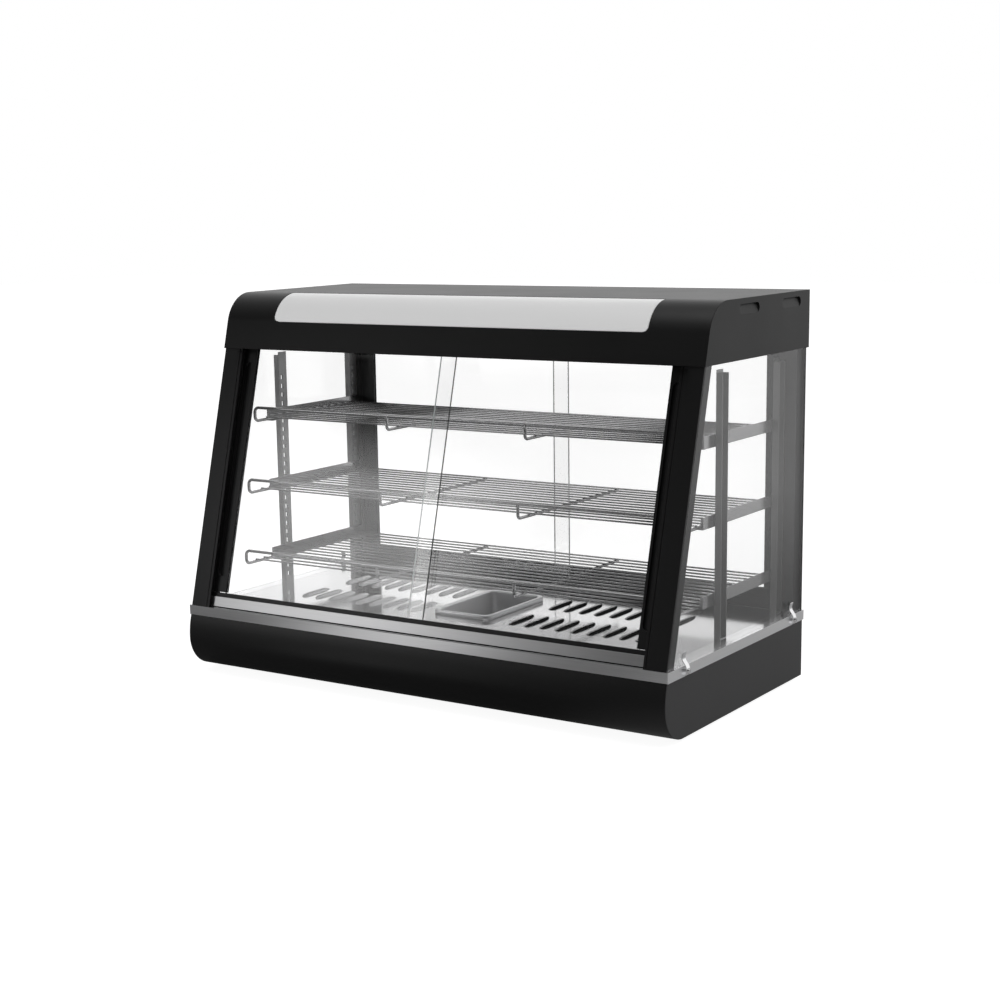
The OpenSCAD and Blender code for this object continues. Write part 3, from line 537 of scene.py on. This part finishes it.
def water_pan():
    """Pan as a stack of rounded rectangles: a folded skirt, a flat rolled rim, walls that taper a little and
    a floor with a soft radius."""
    lo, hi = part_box("water_pan")
    centre = ((lo.x + hi.x) / 2, (lo.y + hi.y) / 2)
    half_x, half_y = (hi.x - lo.x) / 2, (hi.y - lo.y) / 2
    top, floor = hi.z, lo.z + 0.001
    a = np.linspace(0, np.pi / 2, 6)
    rise, run = np.sin(a), 1 - np.cos(a)
    inset = [
        0.0, *(0.0016 * run), 0.003, *(0.0046 + 0.0024 * rise),
        0.0072, 0.0085, 0.0098, *(0.0098 + 0.011 * run), 0.035, 0.0535,
    ]
    height = [
        top - 0.0078, *(top - 0.0016 * (1 - rise)), top - 0.0002, *(top - 0.0003 - 0.0024 * run),
        top - 0.006, top - 0.025, floor + 0.014, *(floor + 0.0115 * (1 - rise)), floor, floor - 0.0002,
    ]
    rings = [
        rounded_ring(half_x - i, half_y - i, max(0.012 - 0.2 * i, 0.0095), centre, h)
        for i, h in zip(inset, height)
    ]
    points = np.vstack(rings)
    cols = len(rings[0])
    last = (len(rings) - 1) * cols
    middle = points[last:].mean(0)
    n = len(points)
    k = np.arange(cols)
    cap = np.stack([np.full(cols, n), last + k, last + (k + 1) % cols], -1)
    return np.vstack([points, middle]), [lattice(len(rings), cols, True), cap]


piece("deck_top", deck_sheet(), DECK_STEEL, "case", ["deck_plate"],
      wall=0.001, edge=0.0002, from_inside=(0, 0, -5))
piece("deck_louvres", louvre_hoods(), HOOD_STEEL_PAINTED_DARKER, "case", (),
      wall=0.0005, from_inside=(0, 0, -5))
piece("pan_shell", water_pan(), PAN_STEEL, "pan", ["water_pan"],
      wall=0.0007, from_inside=(0, 0, -3))


# ---------- canopy ----------

def lean_face(z):
    """Depth of the leaning front at height z."""
    return FACE + (z - DECK) * math.tan(LEAN)


CANOPY_R = 0.06
EDGE_Z = ROOF - CANOPY_R
TANGENT_Z = EDGE_Z + CANOPY_R * math.sin(LEAN)
EDGE_Y = lean_face(TANGENT_Z) + CANOPY_R * math.cos(LEAN)
WINDOW_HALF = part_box("light_diffuser")[1].x
CANOPY_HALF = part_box("canopy_front")[1].x


def on_canopy(x, s, sink=0.0):
    """Point of the canopy's skin. s runs up from the tangent line: below it along the straight lean, and
    above it round the edge's circle. Sink is the depth under the skin."""
    turn = np.pi - LEAN - np.clip(s, 0, None) / CANOPY_R
    radius = CANOPY_R - sink
    low = np.clip(s, None, 0)
    y = EDGE_Y + radius * np.cos(turn) + low * math.sin(LEAN)
    z = EDGE_Z + radius * np.sin(turn) + low * math.cos(LEAN)
    return np.stack([x, y, z], -1).reshape(-1, 3)


ARC = CANOPY_R * (math.pi / 2 - LEAN)
CORNER = 0.009
SEAM = 0.0006


def window_half(s, half):
    """Half width of the window at s, where round lower corners narrow it: a circle's run near the tangent."""
    drop = np.clip(CORNER - s, 0, CORNER)
    return half - CORNER + np.sqrt(np.clip(CORNER ** 2 - drop ** 2, 0, None))


def canopy_front():
    """Bent front sheet: a full-width strip on the lean, and two side parts that follow the window's rounded
    corners round the edge."""
    share = np.linspace(0, 1, 5)
    fine = np.concatenate([np.linspace(0, CORNER, 8), np.linspace(CORNER, ARC, 18)[1:]])
    inner = window_half(fine, WINDOW_HALF + SEAM)[:, None]
    x = inner + (CANOPY_HALF - inner) * share[None, :]
    s = np.broadcast_to(fine[:, None], x.shape)
    foot = (TANGENT_Z - CANOPY_FOOT) / math.cos(LEAN)
    level = np.linspace(-foot, 0, 4)
    right = x[0]
    cols = np.concatenate([-right[::-1], right])
    strip_x, strip_s = np.meshgrid(cols, level)
    return joined([
        (on_canopy(strip_x, strip_s), [lattice(len(level), len(cols))]),
        (on_canopy(x, s), [lattice(len(fine), len(share))]),
        (on_canopy(-x, s), [lattice(len(fine), len(share))[:, ::-1]]),
    ])


def opal_window():
    """Opal window that fills the edge's circle between the side parts, with lower corners rounded alike."""
    fine = np.concatenate([np.linspace(SEAM, CORNER, 8), np.linspace(CORNER, ARC - 2 * SEAM, 18)[1:]])
    half = window_half(fine - SEAM, WINDOW_HALF - 0.0004)[:, None]
    share = np.concatenate([np.linspace(-1, -0.96, 4), np.linspace(-0.9, 0.9, 13), np.linspace(0.96, 1, 4)])
    x = half * share[None, :]
    s = np.broadcast_to(fine[:, None], x.shape)
    return on_canopy(x, s, 0.0004), [lattice(len(fine), len(share))]


inside_canopy = (0, EDGE_Y + 0.05, EDGE_Z - 0.05)
piece("canopy_front_sheet", canopy_front(), PAINT, "case", ["canopy_front"],
      wall=SHEET, edge=0.0004, from_inside=inside_canopy)
piece("opal_window", opal_window(), OPAL, "case", ["light_diffuser"],
      wall=0.0028, edge=0.0006, from_inside=inside_canopy)


# ---------- clips over the side glass ----------

CLIP_HALF, CLIP_MID, CLIP_WALL = 0.0053, 0.0055, 0.0011


def clips():
    """Sprung strips: the line through the strip's turns in (x, z), smoothed by a moving average and carried
    across its width. The strip narrows at both ends, as a circle's edge does."""
    lo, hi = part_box("glass_clips")
    turns = np.array([
        (0.4, -15.0), (3.2, -13.3), (4.0, -10.5), (4.0, -4.5), (2.4, 0.3), (-0.6, 4.4), (-3.1, 8.0),
        (-3.8, 11.5), (-3.1, 15.5), (-0.9, 20.2),
    ]) / 1000
    t = np.linspace(0, len(turns) - 1, 46)
    base = np.arange(len(turns))
    smooth = np.stack([np.interp(t, base, turns[:, k]) for k in (0, 1)], -1)
    kernel = np.array([1, 3, 5, 3, 1]) / 13
    padded = np.vstack([smooth[:1], smooth[:1], smooth, smooth[-1:], smooth[-1:]])
    curve = np.stack([np.convolve(padded[:, k], kernel, "valid") for k in (0, 1)], -1)
    run = np.linspace(0, 1, len(curve))
    near = np.minimum(run, 1 - run)
    end = 0.07
    half = CLIP_HALF * np.sqrt(1 - 0.6 * (np.clip(end - near, 0, None) / end) ** 2)
    cols = 7
    share = np.linspace(-1, 1, cols)
    parts = []
    for side in (-1, 1):
        for y in (lo.y + CLIP_MID, hi.y - CLIP_MID):
            gx = np.broadcast_to(side * (HALF_WIDTH + curve[:, 0:1] + CLIP_WALL), (len(curve), cols))
            gz = np.broadcast_to(DECK + curve[:, 1:2], gx.shape)
            gy = y + half[:, None] * share[None, :]
            faces = lattice(len(curve), cols)
            parts.append((np.stack([gx, gy, gz], -1).reshape(-1, 3), [faces if side > 0 else faces[:, ::-1]]))
    return joined(parts)


piece("glass_clip_strips", clips(), CHROME, "case", ["glass_clips"],
      wall=CLIP_WALL, edge=0.0003, from_inside=(0, 0, DECK))


# ---------- finishes on the CAD nodes ----------

def dress(material, *names, edge=0.0005):
    """The node's own mesh with that finish. Modifiers weld its loose triangles, drop the lines across flat
    faces and round its edges."""
    for name in names:
        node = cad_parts[name]
        if node.hide_render:
            continue
        mesh = node.data
        mesh.materials.clear()
        mesh.materials.append(material)
        if "custom_normal" in mesh.attributes:
            mesh.attributes.remove(mesh.attributes["custom_normal"])
        mesh.shade_smooth()
        weld = node.modifiers.new("weld", "WELD")
        weld.merge_threshold = 0.00001
        flat = node.modifiers.new("flat", "DECIMATE")
        flat.decimate_type, flat.angle_limit = "DISSOLVE", math.radians(0.4)
        soften(node, edge)


dress(PAINT, "base_front_panel", "base_bottom_plate", "base_rear_panel", "canopy_roof")
dress(BASE_SIDE_PAINTED_LIGHTER, "base_side_left", "base_side_right")
dress(CANOPY_SIDE_PAINTED_LIGHTER, "canopy_side_left", "canopy_side_right")
dress(BAR, "front_upright_left", "front_upright_right", "rear_upright_left", "rear_upright_right",
      "front_door_handle_left", "front_door_handle_right", "rear_door_handle_left", "rear_door_handle_right")
dress(TRACK, "front_lower_track", "front_upper_track", "rear_lower_track", "rear_upper_track", edge=0.0003)
dress(TRIM, "trim_band", edge=0.0006)
dress(SILL, "front_sill", edge=0.0004)
dress(INNER, "ceiling_panel", "element_brackets", "thermostat_spindle", edge=0.0003)
dress(POST, "pilaster_front_left", "pilaster_front_right", "pilaster_rear_left", "pilaster_rear_right",
      "thermostat", edge=0.0003)
dress(RAIL, "shelf_rails_top", "shelf_rails_middle", "shelf_rails_bottom", edge=0.0003)
dress(CHROME, "screws", edge=0.0002)
dress(FRONT_PANE, "front_door_glass_left", edge=0.0005)
dress(INNER_PANE, "front_door_glass_right", edge=0.0005)
dress(REAR_PANE, "rear_door_glass_left", "rear_door_glass_right", edge=0.0005)
dress(SIDE_PANE, "side_glass_left", "side_glass_right", edge=0.0005)
dress(TUBE, "lamp_tube")
dress(PLASTIC, "thermostat_knob", "switch_housings", "cable_gland", edge=0.0003)
dress(RED, "power_rocker", edge=0.0005)
dress(GREEN, "light_rocker", edge=0.0005)
dress(AMBER, "pilot_lamp", edge=0.0003)
dress(CERAMIC, "terminal_block", "lamp_holders", edge=0.0004)
dress(HEATER, "heating_elements", edge=0.0003)
dress(RUBBER, "feet", edge=0.0006)


# ---------- stage and lights ----------

def floor():
    """Plain pale floor. The camera sees it near white. What the case mirrors of it is dark in front, pale
    behind and to the right, with one soft bright patch in front on the left."""
    size = 12.0
    patch_x, patch_y = -0.28, -0.66
    mesh = bpy.data.meshes.new("floor")
    corners = [(-size, -size, 0), (size, -size, 0), (size, size, 0), (-size, size, 0)]
    mesh.from_pydata(corners, [], [(0, 1, 2, 3)])
    made = bpy.data.objects.new("floor", mesh)
    bpy.context.scene.collection.objects.link(made)
    f = Finish("pale_floor", (0.5, 0.5, 0.5), 0.9)
    f.shader.inputs["Specular IOR Level"].default_value = 0.0
    seen = f.node("ShaderNodeLightPath", output="Is Camera Ray")
    x, y = f.along("X"), f.along("Y")
    pale = f.ease(x * 0.6 + y * 0.8, 0.6, 2.6)
    patch = 1 - f.ease(((x - patch_x) ** 2.0 + (y - patch_y) ** 2.0) ** 0.5, 0.05, 0.34)
    f.feed("Base Color", f.blend(seen, (0.16, 0.16, 0.16), (0.5, 0.5, 0.5)))
    level = seen * 0.93 + (1 - seen) * (0.04 + 0.2 * f.ease(x, 0.2, 0.5) + 0.35 * pale + 0.9 * patch)
    f.feed("Emission Color", f.node("ShaderNodeCombineXYZ", inputs={0: level, 1: level, 2: level}))
    f.shader.inputs["Emission Strength"].default_value = 1.0
    mesh.materials.append(f.material)


def softbox(name, place, target, width, height, strength):
    """Glowing panel that faces target and fades smoothly to its rim. The camera doesn't see it."""
    mesh = bpy.data.meshes.new(name)
    w, h = width / 2, height / 2
    mesh.from_pydata([(-w, -h, 0), (w, -h, 0), (w, h, 0), (-w, h, 0)], [], [(0, 1, 2, 3)])
    made = bpy.data.objects.new(name, mesh)
    bpy.context.scene.collection.objects.link(made)
    turn = (Vector(target) - Vector(place)).to_track_quat("Z", "Y")
    made.matrix_world = Matrix.Translation(place) @ turn.to_matrix().to_4x4()
    f = Finish(name, (0, 0, 0), 1.0)
    x, y = f.along("X"), f.along("Y")
    fade = (1 - f.ease(abs(x), 0.35 * w, w)) * (1 - f.ease(abs(y), 0.35 * h, h))
    glow = f.node("ShaderNodeEmission", inputs={"Strength": fade * strength})
    f.tree.links.new(glow.socket, f.tree.nodes["Material Output"].inputs["Surface"])
    mesh.materials.append(f.material)
    made.visible_camera = False


def surroundings():
    """Studio round the case: white behind it, dim in front and grey above. The camera sees plain white."""
    world = bpy.data.worlds.new("studio")
    bpy.context.scene.world = world
    world.use_nodes = True
    tree = world.node_tree
    tree.nodes.clear()

    class Sky:
        """Lets the world's nodes be added the way a finish's are."""

        def __init__(self):
            self.tree = tree

        node = Finish.node

    sky = Sky()
    way = sky.node("ShaderNodeTexCoord", output="Generated")
    back = sky.node("ShaderNodeSeparateXYZ", inputs={0: way}, output=1)
    up = sky.node("ShaderNodeSeparateXYZ", inputs={0: way}, output=2)
    step = {"interpolation_type": "SMOOTHSTEP"}
    behind = sky.node("ShaderNodeMapRange", step, {"Value": back, "From Min": -0.15, "From Max": 0.45})
    above = sky.node("ShaderNodeMapRange", step, {"Value": up, "From Min": 0.35, "From Max": 0.95})
    level = 0.05 + 0.95 * behind * (1 - above) + 0.3 * above
    seen = sky.node("ShaderNodeLightPath", output="Is Camera Ray")
    strength = seen * 1.0 + (1 - seen) * level
    glow = sky.node("ShaderNodeBackground", inputs={"Color": (1, 1, 1, 1), "Strength": strength})
    out = tree.nodes.new("ShaderNodeOutputWorld")
    tree.links.new(glow.socket, out.inputs["Surface"])


surroundings()
floor()
softbox("front_left_box", (-1.08, -1.4, 0.58), (-0.2, -0.15, 0.25), 0.9, 0.75, 2.3)
softbox("top_box", (0.2, -0.4, 2.4), (0, 0, 0.4), 2.4, 1.6, 2.2)
softbox("right_box", (2.4, 0.9, 1.2), (0.4, 0, 0.3), 1.6, 1.6, 1.2)
softbox("seam_strip", (1.45, -0.35, 1.55), (0.45, -0.2, 0.58), 0.4, 0.4, 7.0)
softbox("cabinet_glow", (0, 0.02, CANOPY_FOOT - 0.004), (0, 0.02, 0), 0.84, 0.32, 1.3)
bpy.context.scene.view_settings.view_transform = "Standard"
